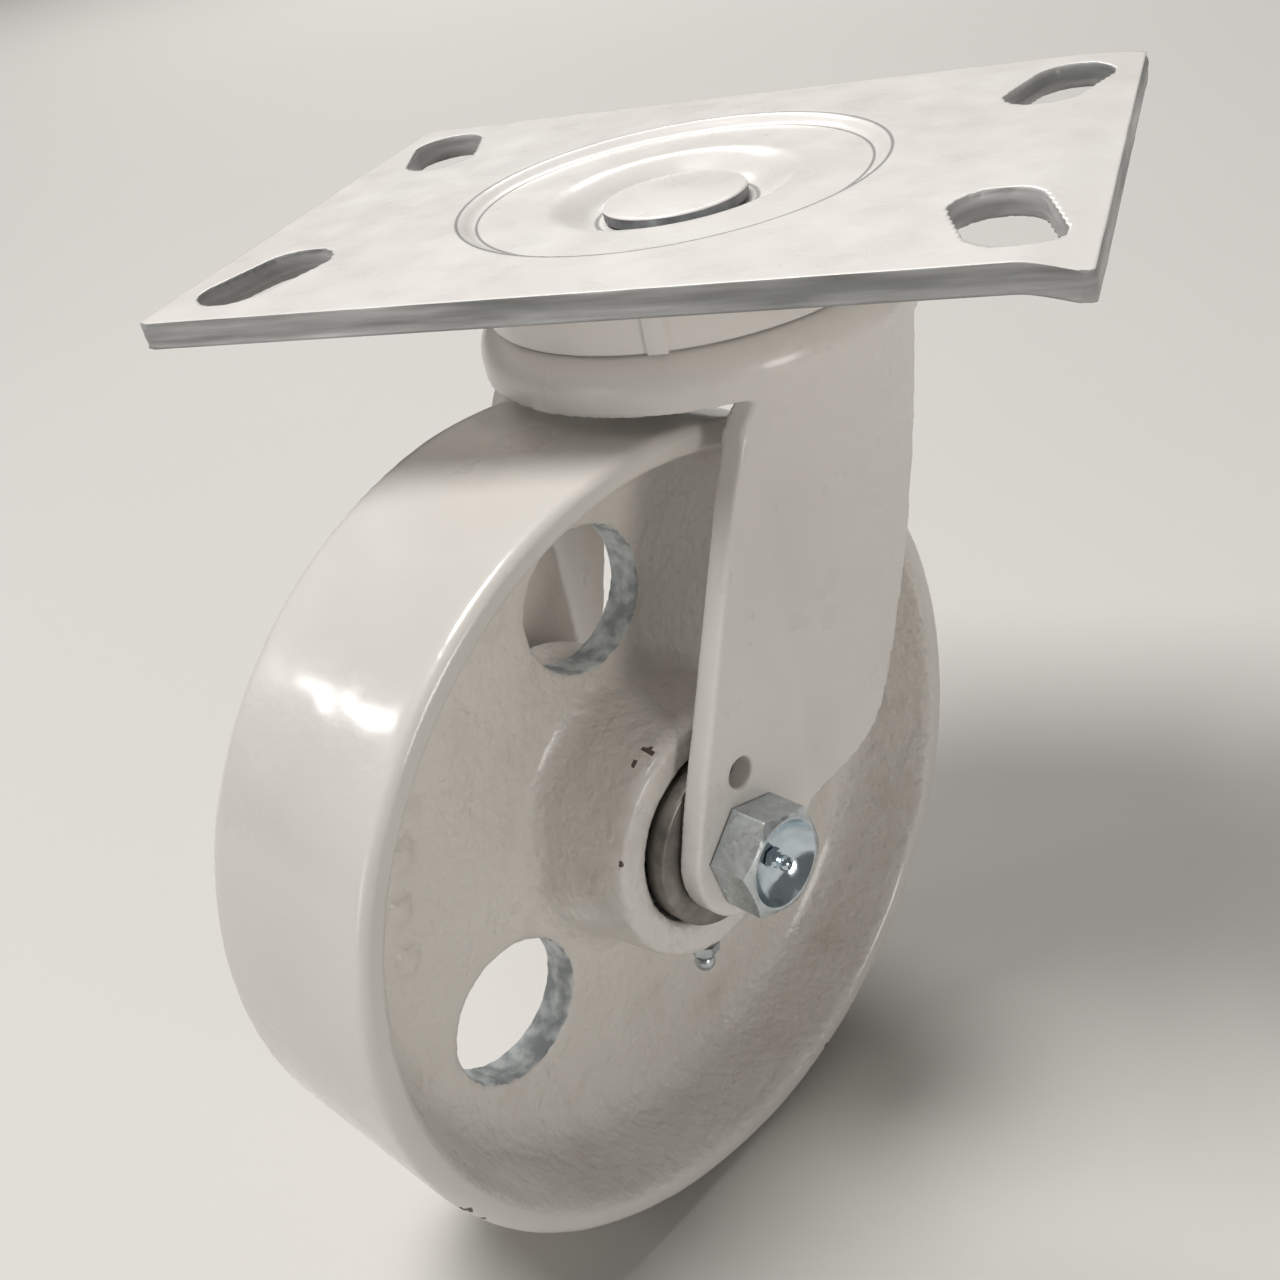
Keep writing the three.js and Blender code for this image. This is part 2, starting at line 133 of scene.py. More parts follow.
AXLE_RADIUS, HEX_FLATS, HEX_TURN = 6.35, 18.0, 42
HEX_FACE = 0.95
HEX_DROP = 0.55 * (HEX_FLATS / math.sqrt(3) - HEX_FACE * HEX_FLATS / 2)
HEAD_HEIGHT, NUT_HEIGHT = 8.4, 10.8
HEAD_FACE = -(LEG_FACE + GAP + HEAD_HEIGHT)
CUP_RADIUS, CUP_BEND, CUP_FLOOR, CUP_DEPTH = 8.0, 6.2, 2.6, 3.4
NUT_BORE_GAP = 0.15
THREADS, THREAD_DEPTH = 9, 0.7
NIPPLE_HEIGHT, HUB_NIPPLE_SCALE = 3.8, 1.4

# Where the wheel's enamel is chipped: radius, angle, distance along the axle, and size.
CHIPS = (
    (HUB_FACE, 160, -HUB_HALF + 0.6, 0.9),
    (HUB_FACE + 0.6, 118, -HUB_HALF + 4, 0.8),
    (HUB_FACE + 0.5, 110, -HUB_HALF + 3.4, 0.9),
    (WHEEL_RADIUS - 1, 285, -WHEEL_HALF, 1.1),
    (WHEEL_RADIUS - 0.4, 205, -WHEEL_HALF + 1, 1.0),
    (WHEEL_RADIUS - 0.5, 209, -WHEEL_HALF + 1, 0.8),
)

# ---- Mesh helpers ---------------------------------------------------------------------------


def arc(x, y, radius, start, end, steps):
    """Points on an arc, in degrees anticlockwise."""
    points = []
    for i in range(steps + 1):
        angle = math.radians(start + (end - start) * i / steps)
        points.append((x + radius * math.cos(angle), y + radius * math.sin(angle)))
    return points


def curve(start, control, end, steps):
    """Points on a quadratic curve, without its start."""
    points = []
    for i in range(1, steps + 1):
        t = i / steps
        a, b, c = (1 - t) ** 2, 2 * t * (1 - t), t * t
        points.append(tuple(a * p + b * q + c * r for p, q, r in zip(start, control, end)))
    return points


def smooth_step(value, low, high):
    """0 up to low, 1 from high, and a smooth climb between them."""
    t = min(max((value - low) / (high - low), 0.0), 1.0)
    return t * t * (3 - 2 * t)


def mesh_object(name, build):
    """A new object whose mesh build() fills, in millimetres."""
    mesh = bpy.data.meshes.new(name)
    work = bmesh.new()
    build(work)
    bmesh.ops.recalc_face_normals(work, faces=work.faces)
    work.to_mesh(mesh)
    work.free()
    piece = bpy.data.objects.new(name, mesh)
    bpy.context.scene.collection.objects.link(piece)
    return piece


def turned(name, outline, segments, axis="Z"):
    """A solid of revolution from (radius, height) points. One off the axis closes on itself."""

    def build(work):
        rings = []
        for radius, height in outline:
            count = 1 if radius == 0 else segments
            ring = []
            for i in range(count):
                angle = 2 * math.pi * i / segments
                x, y = radius * math.cos(angle), radius * math.sin(angle)
                ring.append(work.verts.new((x, y, height) if axis == "Z" else (x, height, y)))
            rings.append(ring)
        if outline[0][0] > 0:
            rings.append(rings[0])
        for low, high in zip(rings, rings[1:]):
            for i in range(segments):
                j = (i + 1) % segments
                bottom = [low[i % len(low)], low[j % len(low)]]
                top = [high[j % len(high)], high[i % len(high)]]
                work.faces.new(list(dict.fromkeys(bottom + top)))

    return mesh_object(name, build)


def prism(name, outline, low, high, axis="Z"):
    """An outline drawn in X and Y (or X and Z for axis Y), from low to high along the axis."""

    def build(work):
        def ring(height):
            if axis == "Z":
                return [work.verts.new((x, y, height)) for x, y in outline]
            return [work.verts.new((x, height, z)) for x, z in outline]

        bottom, top = ring(low), ring(high)
        work.faces.new(bottom)
        work.faces.new(list(reversed(top)))
        for i in range(len(outline)):
            j = (i + 1) % len(outline)
            work.faces.new([bottom[i], bottom[j], top[j], top[i]])

    return mesh_object(name, build)


def apply_modifiers(piece):
    """Makes what the piece's modifiers show its real mesh."""
    graph = bpy.context.evaluated_depsgraph_get()
    mesh = bpy.data.meshes.new_from_object(piece.evaluated_get(graph))
    old = piece.data
    piece.modifiers.clear()
    piece.data = mesh
    bpy.data.meshes.remove(old)


def combine(piece, other, operation):
    """Boolean piece with other, which is used up."""
    step = piece.modifiers.new("combine", "BOOLEAN")
    step.operation = operation
    step.solver = "EXACT"
    step.object = other
    apply_modifiers(piece)
    bpy.data.objects.remove(other)


def drill(piece, radius, sides, axis="Z", centre=(0, 0, 0)):
    """Cuts a round hole right through piece, along an axis through centre."""
    cutter = turned("drill", [(0, -REACH), (radius, -REACH), (radius, REACH), (0, REACH)], sides, axis)
    cutter.data.transform(Matrix.Translation(centre))
    combine(piece, cutter, "DIFFERENCE")


def join(piece, other):
    """Adds other's faces to piece's mesh as they are, and uses other up."""
    work = bmesh.new()
    work.from_mesh(piece.data)
    work.from_mesh(other.data)
    work.to_mesh(piece.data)
    work.free()
    bpy.data.objects.remove(other)


def remesh(piece, voxel, passes):
    """Rebuilds the surface at one grain and rounds its edges as paint and casting do."""
    step = piece.modifiers.new("grain", "REMESH")
    step.mode = "VOXEL"
    step.voxel_size = voxel
    apply_modifiers(piece)
    step = piece.modifiers.new("round", "SMOOTH")
    step.factor = 0.5
    step.iterations = passes
    apply_modifiers(piece)


def bevel(piece, width, angle):
    """Rounds every edge sharper than an angle in degrees."""
    step = piece.modifiers.new("bevel", "BEVEL")
    step.width = width
    step.segments = 2
    step.limit_method = "ANGLE"
    step.angle_limit = math.radians(angle)
    apply_modifiers(piece)


def move_points(piece, change):
    """Moves each vertex to change(point, normal)."""
    mesh = piece.data
    normals = [vertex.normal.copy() for vertex in mesh.vertices]
    for vertex, normal in zip(mesh.vertices, normals):
        vertex.co = change(vertex.co, normal)
    mesh.update()


def finish_piece(piece, body, materials, nodes, place=HERE, flat_angle=None):
    """Places a piece, brings it to metres, gives it its body and materials, and hides the CAD nodes
    that it stands for.
    """
    piece.data.transform(Matrix.Scale(MM, 4) @ place)
    for face in piece.data.polygons:
        face.use_smooth = True
    if flat_angle:
        piece.data.set_sharp_from_angle(angle=math.radians(flat_angle))
    piece.data.materials.clear()
    for material in materials:
        piece.data.materials.append(material)
    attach(piece, body)
    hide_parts(*nodes)


# ---- Materials ------------------------------------------------------------------------------


class Recipe:
    """A node material in the making: one Principled shader and short ways to wire noise into it."""

    def __init__(self, name, roughness=0.4, metallic=0.0, coat=0.0):
        self.material = bpy.data.materials.new(name)
        self.material.use_nodes = True
        self.tree = self.material.node_tree
        self.shader = self.tree.nodes["Principled BSDF"]
        self.shader.inputs["Roughness"].default_value = roughness
        self.shader.inputs["Metallic"].default_value = metallic
        self.shader.inputs["Coat Weight"].default_value = coat
        self.shader.inputs["Coat Roughness"].default_value = 0.12
        self.place = self.node("ShaderNodeTexCoord").outputs["Object"]

    def node(self, kind, **values):
        made = self.tree.nodes.new(kind)
        for key, value in values.items():
            setattr(made, key, value)
        return made

    def link(self, source, target):
        self.tree.links.new(source, target)

    def grain(self, scale, detail=3.0, stretch=None):
        """Noise with features about 1/scale metres wide, stretched by a scale per axis."""
        place = self.place
        if stretch:
            mapping = self.node("ShaderNodeMapping")
            mapping.inputs["Scale"].default_value = stretch
            self.link(place, mapping.inputs["Vector"])
            place = mapping.outputs["Vector"]
        noise_node = self.node("ShaderNodeTexNoise")
        noise_node.inputs["Scale"].default_value = scale
        noise_node.inputs["Detail"].default_value = detail
        self.link(place, noise_node.inputs["Vector"])
        return noise_node.outputs["Fac"]

    def ring_line(self, radius, half_width):
        """1 on a circle round the Z axis, falling to 0 at half_width on either side, in metres."""
        flat = self.node("ShaderNodeVectorMath", operation="MULTIPLY")
        flat.inputs[1].default_value = (1, 1, 0)
        self.link(self.place, flat.inputs[0])
        length = self.node("ShaderNodeVectorMath", operation="LENGTH")
        self.link(flat.outputs["Vector"], length.inputs[0])
        away = self.node("ShaderNodeMath", operation="SUBTRACT")
        away.inputs[1].default_value = radius
        self.link(length.outputs["Value"], away.inputs[0])
        size = self.node("ShaderNodeMath", operation="ABSOLUTE")
        self.link(away.outputs["Value"], size.inputs[0])
        return self.spread(size.outputs["Value"], 0.3 * half_width, half_width, 1, 0)

    def spread(self, value, low, high, first, last):
        """Maps a value from low..high to first..last."""
        ramp = self.node("ShaderNodeMapRange")
        numbers = {"From Min": low, "From Max": high, "To Min": first, "To Max": last}
        for socket, number in numbers.items():
            ramp.inputs[socket].default_value = number
        self.link(value, ramp.inputs["Value"])
        return ramp.outputs["Result"]

    def mix(self, factor, first, second):
        """Colour first where factor is 0 and second where it is 1."""
        blend = self.node("ShaderNodeMix", data_type="RGBA")
        self.link(factor, blend.inputs["Factor"])
        for socket, colour in ((6, first), (7, second)):
            if isinstance(colour, tuple):
                blend.inputs[socket].default_value = (*colour, 1)
            else:
                self.link(colour, blend.inputs[socket])
        return blend.outputs[2]

    def mottle(self, marks, low, high, first, last):
        """Colour first where marks is under low, and last where it is over high."""
        return self.mix(self.spread(marks, low, high, 0, 1), first, last)

    def colour(self, socket):
        self.link(socket, self.shader.inputs["Base Color"])

    def roughness(self, socket):
        self.link(socket, self.shader.inputs["Roughness"])

    def bump(self, height, strength, distance, under=None):
        """Adds a relief to the shader, on top of another relief if under is given."""
        step = self.node("ShaderNodeBump")
        step.inputs["Strength"].default_value = strength
        step.inputs["Distance"].default_value = distance
        self.link(height, step.inputs["Height"])
        if under:
            self.link(under, step.inputs["Normal"])
        self.link(step.outputs["Normal"], self.shader.inputs["Normal"])
        return step.outputs["Normal"]


def enamel(name, lines=()):
    """Glossy warm white enamel on steel: faint orange peel, a little dust, and painted shade with some
    dirt in dark ring lines.
    """
    dust, grime_and_painted_shade = (0.60, 0.56, 0.51), (0.30, 0.29, 0.28)
    look = Recipe(name, coat=0.35)
    tone = look.mottle(look.grain(18, 4), 0.35, 0.65, (0.74, 0.71, 0.675), (0.79, 0.765, 0.735))
    tone = look.mix(look.spread(look.grain(60, 6), 0.55, 0.80, 0, 0.15), tone, dust)
    # Each ring line is painted shade, with some dirt, darkening the enamel along a crease.
    for radius, half_width in lines:
        tone = look.mix(look.ring_line(radius * MM, half_width * MM), tone, grime_and_painted_shade)
    look.colour(tone)
    look.roughness(look.spread(look.grain(90, 4), 0.3, 0.7, 0.24, 0.40))
    peel = look.bump(look.grain(420, 2), 0.16, 0.0004)
    look.bump(look.grain(60, 2), 0.12, 0.001, under=peel)
    return look.material


def cast_enamel():
    """The same enamel flowed over sand-cast iron, with the casting's grain showing through."""
    grime_and_painted_shade = (0.46, 0.41, 0.355)
    look = Recipe("cast_enamel", coat=0.45)
    tone = look.mottle(look.grain(14, 4), 0.35, 0.65, (0.73, 0.695, 0.65), (0.79, 0.76, 0.72))
    look.colour(look.mix(look.spread(look.grain(95, 8), 0.55, 0.80, 0, 0.35), tone, grime_and_painted_shade))
    look.roughness(look.spread(look.grain(120, 4), 0.3, 0.7, 0.26, 0.46))
    sand = look.bump(look.grain(480, 4), 0.75, 0.0007)
    look.bump(look.grain(120, 3), 0.55, 0.0018, under=sand)
    return look.material


def tread_enamel():
    """Enamel over the machined tread: flatter and glossier than on the cast faces."""
    look = Recipe("tread_enamel", coat=0.6)
    tone = look.mottle(look.grain(14, 4), 0.35, 0.65, (0.665, 0.635, 0.595), (0.735, 0.71, 0.675))
    look.colour(tone)
    look.roughness(look.spread(look.grain(40, 4), 0.3, 0.7, 0.24, 0.40))
    fine = look.bump(look.grain(420, 3), 0.22, 0.0004)
    look.bump(look.grain(45, 2), 0.25, 0.0015, under=fine)
    return look.material


def core_hole():
    """The bores through the web: thin bluish paint over bare cast skin, darkened in part with painted
    shade.
    """
    look = Recipe("core_hole", roughness=0.5)
    look.colour(look.mottle(look.grain(260, 6), 0.40, 0.62, (0.34, 0.37, 0.385), (0.74, 0.78, 0.79)))
    look.bump(look.grain(420, 4), 0.55, 0.0007)
    return look.material


def sheared_edge():
    """The plate's sheared edge, greyer than its faces with thin paint and painted shade on the upright
    walls, with drag marks along it.
    """
    look = Recipe("sheared_edge", coat=0.2)
    drag = look.grain(150, 6, stretch=(0.12, 0.12, 1.6))
    look.colour(look.mottle(drag, 0.38, 0.62, (0.24, 0.245, 0.245), (0.55, 0.55, 0.545)))
    look.roughness(look.spread(drag, 0.35, 0.65, 0.55, 0.35))
    look.bump(drag, 0.55, 0.0008)
    return look.material


def darker(tone, share):
    return tuple(share * part for part in tone)


def zinc(name, tone, roughness):
    """Bright zinc plate with faint tumbling marks. roughness is its lowest and highest."""
    look = Recipe(name, metallic=0.95)
    look.colour(look.mottle(look.grain(330, 5), 0.35, 0.65, darker(tone, 0.82), tone))
    look.roughness(look.spread(look.grain(500, 3), 0.3, 0.7, *roughness))
    look.bump(look.grain(700, 3), 0.12, 0.0003)
    return look.material


def bare_iron():
    """Where the enamel is chipped away."""
    look = Recipe("bare_iron", roughness=0.6)
    look.colour(look.mix(look.grain(900, 3), (0.07, 0.05, 0.04), (0.16, 0.12, 0.095)))
    return look.material


def oiled_steel(name, tone, roughness):
    """Ground or pressed steel under a film of oil."""
    look = Recipe(name, metallic=0.85, coat=0.2)
    marks = look.grain(240, 6)
    look.colour(look.mottle(marks, 0.35, 0.7, tone, darker(tone, 0.6)))
    look.roughness(look.spread(marks, 0.3, 0.7, roughness, roughness + 0.2))
    look.bump(look.grain(600, 2), 0.1, 0.0003)
    return look.material


# Dark ring lines of painted shade, with some dirt, at the pressed step's two edges and the gap round
# the kingpin's head: radius and half width in millimetres.
PAINTED_CREASE_SHADE = ((STEP_OUTER, 0.45), (STEP_INNER - 0.4, 0.4), (DISH_INNER, 0.6))
ENAMEL = enamel("enamel")
PLATE_ENAMEL = enamel("plate_enamel", PAINTED_CREASE_SHADE)
BARE = bare_iron()
# The side of the kingpin's head: bare steel darkened with painted shade where it stands down in the
# dish.
PIN_SIDE_SHADE = oiled_steel("pin_side_shade", (0.20, 0.21, 0.22), 0.4)
CAST = cast_enamel()
# The bores' walls are thin paint, darkened in part with painted shade.
CORE = core_hole()
TREAD = tread_enamel()
SHEARED = sheared_edge()
ZINC = zinc("zinc", (0.62, 0.67, 0.69), (0.20, 0.38))
ZINC_CUP = zinc("zinc_cup", (0.70, 0.80, 0.86), (0.10, 0.22))
STEEL = oiled_steel("bearing_steel", (0.55, 0.55, 0.54), 0.18)
WASHER = oiled_steel("washer_steel", (0.30, 0.28, 0.255), 0.38)

# ---- Top plate ------------------------------------------------------------------------------


def plate_outline():
    x, y = PLATE_HIGH.x - PLATE_CORNER, PLATE_HIGH.y - PLATE_CORNER
    points = []
    for turn, (sign_x, sign_y) in enumerate(((1, 1), (-1, 1), (-1, -1), (1, -1))):
        points += arc(sign_x * x, sign_y * y, PLATE_CORNER, 90 * turn, 90 * turn + 90, 8)
    return points


def slot_cutter(sign_x, sign_y):
    """A round-ended bar that cuts the slot in one corner of the plate."""
    inner = Vector((sign_x * SLOT_INNER[0], sign_y * SLOT_INNER[1]))
    outer = Vector((sign_x * SLOT_OUTER[0], sign_y * SLOT_OUTER[1]))
    turn = math.degrees(math.atan2(outer.y - inner.y, outer.x - inner.x))
    half = SLOT_WIDTH / 2
    outline = arc(outer.x, outer.y, half, turn - 90, turn + 90, 20)
    outline += arc(inner.x, inner.y, half, turn + 90, turn + 270, 20)
    return prism("slot", outline, -2 * PLATE_THICKNESS, PLATE_THICKNESS)


def pressed_depth(radius, inset):
    """How far the pressing draws the sheet down at a radius: a step, then a dish for the pin."""
    step = STEP_DEPTH * (1 - smooth_step(radius, STEP_INNER - inset, STEP_OUTER - inset))
    dish = (DISH_DEPTH - STEP_DEPTH) * (1 - smooth_step(radius, DISH_INNER, DISH_OUTER))
    return step + dish


def droop(x, y):
    """How far the plate's right end is bent down: a little, and most at its front corner."""
    end = smooth_step(x, DROOP_START, PLATE_HIGH.x + 2)
    return end * (DROOP_BACK + DROOP_FRONT * smooth_step(-y, -PLATE_HIGH.y, PLATE_HIGH.y))


def shaped_plate(point, normal):
    """Where a point of the flat sheet goes: its edge is dragged by the shear, then all is pressed."""
    radius = math.hypot(point.x, point.y)
    depth = min(max(-point.z / PLATE_THICKNESS, 0.0), 1.0)
    down = (1 - depth) * pressed_depth(radius, 0) + depth * pressed_depth(radius, UNDERSIDE_INSET)
    if abs(normal.z) < 0.6 and radius > STEP_OUTER:
        drag = noise.noise(Vector((0.13 * point.x, 0.13 * point.y, 0.9 * point.z)))
        point = point - normal * 0.22 * (1 + drag)
    return Vector((point.x, point.y, point.z - down - droop(point.x, point.y)))


def top_plate():
    plate = prism("plate_sheet", plate_outline(), -PLATE_THICKNESS, 0)
    for sign_x in (-1, 1):
        for sign_y in (-1, 1):
            combine(plate, slot_cutter(sign_x, sign_y), "DIFFERENCE")
    drill(plate, PIN_SHANK + GAP, 64)
    remesh(plate, PLATE_GRAIN, 2)
    move_points(plate, shaped_plate)
    finish_piece(plate, "plate", [PLATE_ENAMEL, SHEARED], ["top_plate"])
    for face in plate.data.polygons:
        radius = math.hypot(face.center.x, face.center.y)
        # Upright faces outside the pressing, the edge and the slot walls, take the grey that is partly
        # painted shade.
        face.material_index = int(abs(face.normal.z) < 0.75 and radius > STEP_OUTER * MM)


# ---- Kingpin and dust ring ------------------------------------------------------------------


def kingpin():
    """The pin's top is enamelled, and the side of its head is dark bare steel with painted shade."""
    seat = -DISH_DEPTH + GAP
    outline = [(0, PIN_LOW.z), (PIN_SHANK - PIN_POINT, PIN_LOW.z), (PIN_SHANK, PIN_LOW.z + PIN_POINT)]
    outline += [(PIN_SHANK, seat), (PIN_HEAD - 0.4, seat), (PIN_HEAD, seat + 0.4)]
    outline += arc(PIN_HEAD - PIN_EDGE, PIN_HIGH.z - PIN_EDGE, PIN_EDGE, 0, 90, 5)
    outline.append((0, PIN_HIGH.z))
    pin = turned("pin", outline, 128)
    finish_piece(pin, "plate", [ENAMEL, PIN_SIDE_SHADE], ["kingpin"], flat_angle=40)
    for face in pin.data.polygons:
        # Faces below the top take the dark side material, which is partly painted shade.
        face.material_index = int(face.center.z < PIN_HIGH.z * MM - 0.0003)


def dust_ring():
    """A rolled strip whose ends lap in one upright seam."""
    outline = [(RING_INNER, RING_LOW.z + RING_EDGE), (RING_INNER + RING_EDGE, RING_LOW.z)]
    outline += [(RING_OUTER - RING_EDGE, RING_LOW.z), (RING_OUTER, RING_LOW.z + RING_EDGE)]
    outline += [(RING_OUTER, RING_HIGH.z), (RING_INNER, RING_HIGH.z)]
    ring = turned("rolled_ring", outline, 240)
    half = SEAM_WIDTH / 2
    front, back = -RING_OUTER - SEAM_PROUD, -RING_INNER - 0.6
    corners = [(-half, front + 0.2), (half, front), (half, back), (-half, back)]
    seam = prism("seam", corners, RING_LOW.z, RING_HIGH.z)
    seam.data.transform(Matrix.Rotation(math.radians(SEAM_TURN), 4, "Z"))
    combine(ring, seam, "UNION")
    bevel(ring, 0.15, 40)
    finish_piece(ring, "plate", [ENAMEL], ["dust_ring"], flat_angle=35)


def kingpin_nut():
    low, high = node_box("kingpin_nut")
    nut = hexagon("pin_nut", PIN_NUT_FLATS, 30, low.z, high.z, PIN_NUT_DROP, 0, "Z")
    drill(nut, PIN_SHANK + NUT_BORE_GAP, 64)
    bevel(nut, 0.25, 25)
    finish_piece(nut, "plate", [ZINC], ["kingpin_nut"], flat_angle=28)


# ---- Fork -----------------------------------------------------------------------------------


def crown_outline():
    """The crown's section: a flat top, a rolled shoulder and a short apron."""
    centre = (CROWN_RADIUS - CROWN_SHOULDER, CROWN_TOP - CROWN_SHOULDER)
    points = [(CROWN_BORE, CROWN_TOP - SHEET)]
    points += arc(*centre, CROWN_SHOULDER - SHEET, 90, 0, 8)
    points += [(CROWN_RADIUS - SHEET, CROWN_RIM), (CROWN_RADIUS, CROWN_RIM)]
    points += arc(*centre, CROWN_SHOULDER, 0, 90, 16)
    points.append((CROWN_BORE, CROWN_TOP))
    return points


def leg_outline():
    """The leg's edge in X and Z: down the trailing side, round the axle, and up the leading side."""
    top = CROWN_TOP - CROWN_SHOULDER
    points = [(18, top), (-22, top)]
    points += curve((-22, top), (-27, -36), (-31.7, -44.3), 8)
    points.append((-47.7, -81.9))
    points += curve((-47.7, -81.9), (-53, -93), (-56.2, -102.5), 8)
    points += arc(-TRAIL, -DROP, LEG_END, 155, 308, 32)
    points.append((-17.5, -103.4))
    points += curve((-17.5, -103.4), (-13, -100), (-10.2, -94.5), 8)
    points.append((16.7, -27.5))
    return points


def leg_face(x, z):
    """How far out the leg's face is: the crown's round wall, or the flat lobe where it is outside."""
    wall = math.sqrt(max(CROWN_RADIUS**2 - x * x, 0)) - LEG_FACE
    lobe = -LEG_FLARE * (1 - smooth_step(-z, FLARE_TOP, FLARE_END))
    return LEG_FACE + CREASE * math.log(math.exp(wall / CREASE) + math.exp(lobe / CREASE))


def leg_sheet():
    """A bent slab that holds both faces of a leg, before its edge is cut."""
    width, height = SHEET_FRONT - SHEET_BACK, SHEET_TOP - SHEET_BOTTOM

    def build(work):
        bmesh.ops.create_grid(work, x_segments=width, y_segments=height, size=0.5)
        for vertex in work.verts:
            x = SHEET_BACK + (vertex.co.x + 0.5) * width
            z = SHEET_BOTTOM + (vertex.co.y + 0.5) * height
            vertex.co = (x, min(leg_face(x, z), CROWN_RADIUS), z)
        inner = bmesh.ops.duplicate(work, geom=work.verts[:] + work.edges[:] + work.faces[:])
        copies = [item for item in inner["geom"] if isinstance(item, bmesh.types.BMVert)]
        for vertex in copies:
            vertex.co.y -= SHEET
        edges = [edge for edge in work.edges if edge.is_boundary]
        bmesh.ops.bridge_loops(work, edges=edges)

    return mesh_object("leg", build)


def leg(side):
    """One leg, on the +Y side or mirrored to the -Y side."""
    sheet = leg_sheet()
    cutter = prism("leg_edge", leg_outline(), LEG_INSIDE, CROWN_RADIUS + 4, axis="Y")
    combine(sheet, cutter, "INTERSECT")
    drill(sheet, AXLE_RADIUS + GAP, 48, "Y", (-TRAIL, 0, -DROP))
    drill(sheet, LEG_HOLE_RADIUS, 32, "Y", (-TRAIL + LEG_HOLE_FORWARD, 0, -DROP + LEG_HOLE_RISE))
    if side < 0:
        sheet.data.transform(Matrix.Scale(-1, 4, (0, 1, 0)))
        sheet.data.flip_normals()
    return sheet


def wavy_sheet(point, normal):
    """The pressing's surface wanders by a tenth of a millimetre."""
    return point + normal * 0.12 * noise.noise(point * 0.07)


def fork():
    body = turned("fork_yoke", crown_outline(), 200)
    for side in (-1, 1):
        join(body, leg(side))
    remesh(body, FORK_GRAIN, 3)
    move_points(body, wavy_sheet)
    finish_piece(body, "fork", [ENAMEL], ["fork"], FORK)


# ---- Axle -----------------------------------------------------------------------------------


def hexagon(name, flats, turn, low, high, low_drop, high_drop, axis):
    """A hexagon bar along an axis, its corners turned off over a drop in height at either end."""
    corner = flats / math.sqrt(3)
    rim, face = corner + CLEAR, HEX_FACE * flats / 2
    block = prism(name, arc(0, 0, corner, turn, turn + 300, 5), low, high, axis)
    low_edge = [(face, low), (rim, low + low_drop)] if low_drop else [(rim, low)]
    high_edge = [(rim, high - high_drop), (face, high)] if high_drop else [(rim, high)]
    outline = [(0, low)] + low_edge + high_edge + [(0, high)]
    combine(block, turned("turner", outline, 96, axis), "INTERSECT")
    return block


def node_centre(node):
    """The middle of a CAD node in the axle's own frame."""
    low, high = node_box(node)
    return AXLE.inverted() @ ((low + high) / 2)


def bolt_shank():
    """The bolt from inside its head to its pointed end, with plain grooves for the thread."""
    start = HEAD_FACE + HEAD_HEIGHT - 0.5
    end = node_centre("axle_bolt").y * 2 - HEAD_FACE
    pitch = (end - 1 - LEG_FACE) / THREADS
    outline = [(0, start), (AXLE_RADIUS, start)]
    for i in range(THREADS):
        crest = LEG_FACE + i * pitch
        outline += [(AXLE_RADIUS, crest + 0.1), (AXLE_RADIUS - THREAD_DEPTH, crest + 0.55 * pitch)]
    outline += [(AXLE_RADIUS - 0.2, end - 1), (AXLE_RADIUS - 1.2, end), (0, end)]
    return turned("shank", outline, 64, "Y")


def axle_bolt():
    """The bolt's head has a bright dished cup in its face."""
    head = hexagon("bolt", HEX_FLATS, HEX_TURN, HEAD_FACE, HEAD_FACE + HEAD_HEIGHT, HEX_DROP, 0, "Y")
    floor_at = HEAD_FACE + CUP_DEPTH
    bowl = [(0, floor_at), (CUP_FLOOR, floor_at)]
    bowl += curve((CUP_FLOOR, floor_at), (CUP_BEND, floor_at), (CUP_RADIUS, HEAD_FACE - 0.05), 10)
    bowl += [(CUP_RADIUS, HEAD_FACE - 2), (0, HEAD_FACE - 2)]
    combine(head, turned("bowl", bowl, 96, "Y"), "DIFFERENCE")
    bevel(head, 0.22, 25)
    join(head, bolt_shank())
    finish_piece(head, "fork", [ZINC, ZINC_CUP], ["axle_bolt"], AXLE, 28)
    inverse = AXLE.inverted()
    for face in head.data.polygons:
        local = inverse @ (face.center / MM)
        in_cup = math.hypot(local.x, local.z) < CUP_RADIUS and local.y < floor_at + 0.1
        face.material_index = int(in_cup)


def axle_nut():
    face = LEG_FACE + GAP
    nut = hexagon("lock_nut", HEX_FLATS, HEX_TURN, face, face + NUT_HEIGHT, HEX_DROP, HEX_DROP, "Y")
    drill(nut, AXLE_RADIUS + NUT_BORE_GAP, 48, "Y")
    bevel(nut, 0.25, 25)
    finish_piece(nut, "fork", [ZINC], ["axle_nut"], AXLE, 28)


def nipple(name, scale):
    """A grease nipple along +Y: hexagon flange, waist and ball tip."""
    flange = prism(name, arc(0, 0, 2.1, 0, 300, 5), 0, 1.2, axis="Y")
    outline = [(0, 0.8), (1.5, 0.8), (1.5, 1.3), (1.15, 1.7), (1.1, 2.1)]
    outline += arc(0, 2.75, 1.45, -28, 62, 10)
    outline += [(0.55, NIPPLE_HEIGHT), (0.4, 3.3), (0, 3.3)]
    join(flange, turned("tip", outline, 48, "Y"))
    flange.data.transform(Matrix.Scale(scale, 4))
    return flange


def axle_nipple():
    """The nipple in the bolt's cup points out towards -Y."""
    piece = nipple("nipple_in_head", 1.0)
    place = AXLE @ Matrix.Translation((0, HEAD_FACE + CUP_DEPTH - GAP, 0))
    place = place @ Matrix.Rotation(math.pi, 4, "Z")
    finish_piece(piece, "fork", [ZINC_CUP], ["axle_grease_fitting"], place, 30)


